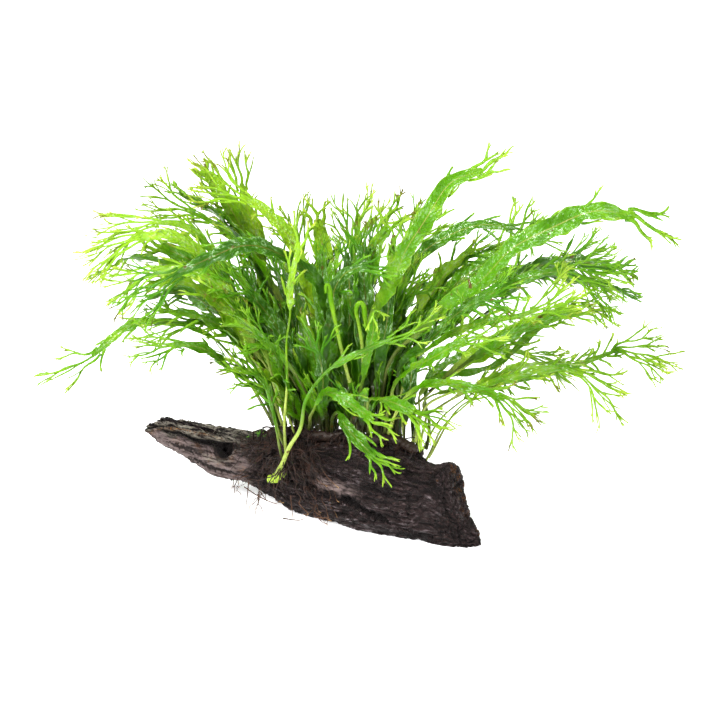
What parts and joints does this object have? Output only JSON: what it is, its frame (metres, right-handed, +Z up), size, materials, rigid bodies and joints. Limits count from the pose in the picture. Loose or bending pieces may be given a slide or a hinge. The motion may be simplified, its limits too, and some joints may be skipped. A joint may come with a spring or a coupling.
{
  "type": "java fern on driftwood",
  "caption": "Laced java fern growing on a dark piece of driftwood, with creeping rhizome, clinging roots and finely forked arching fronds; it stands on the wood's flat underside.",
  "frame": {"origin": "under the middle of the whole object's box, on the surface that the wood stands on", "axes": "+X to the right of the picture's view, along the plant's widest spread; -Y towards the front of the view; +Z up"},
  "size_m": [0.2906, 0.1752, 0.1796],
  "materials": {
    "wet_driftwood": "wet, dark brown to black, open grain",
    "creeping_stem": "satin, green to brown, scaly",
    "root_fibre": "matt, brown, fibrous",
    "fern_leaf": "moist gloss, quilted, dark green to yellow-green tips"
  },
  "bodies": {
    "root": {"driftwood": "wet_driftwood", "frond_01": "fern_leaf", "frond_02": "fern_leaf", "frond_03": "fern_leaf", "frond_04": "fern_leaf", "frond_05": "fern_leaf", "frond_06": "fern_leaf", "frond_07": "fern_leaf", "frond_08": "fern_leaf", "frond_09": "fern_leaf", "frond_10": "fern_leaf", "frond_11": "fern_leaf", "frond_12": "fern_leaf", "frond_13": "fern_leaf", "frond_14": "fern_leaf", "frond_15": "fern_leaf", "frond_16": "fern_leaf", "frond_17": "fern_leaf", "frond_18": "fern_leaf", "frond_19": "fern_leaf", "frond_20": "fern_leaf", "frond_21": "fern_leaf", "frond_22": "fern_leaf", "frond_23": "fern_leaf", "frond_24": "fern_leaf", "frond_25": "fern_leaf", "frond_26": "fern_leaf", "frond_27": "fern_leaf", "frond_28": "fern_leaf", "frond_29": "fern_leaf", "frond_30": "fern_leaf", "frond_31": "fern_leaf", "frond_32": "fern_leaf", "frond_33": "fern_leaf", "frond_34": "fern_leaf", "frond_35": "fern_leaf", "frond_36": "fern_leaf", "frond_37": "fern_leaf", "frond_38": "fern_leaf", "frond_39": "fern_leaf", "frond_40": "fern_leaf", "frond_41": "fern_leaf", "frond_42": "fern_leaf", "frond_43": "fern_leaf", "frond_44": "fern_leaf", "frond_45": "fern_leaf", "frond_46": "fern_leaf", "frond_47": "fern_leaf", "frond_48": "fern_leaf", "frond_49": "fern_leaf", "rhizome": "creeping_stem", "rhizome_back_branch": "creeping_stem", "rhizome_front_branch": "creeping_stem", "roots_1": "root_fibre", "roots_2": "root_fibre", "roots_3": "root_fibre", "roots_4": "root_fibre", "roots_5": "root_fibre"}
  },
  "joints": []
}
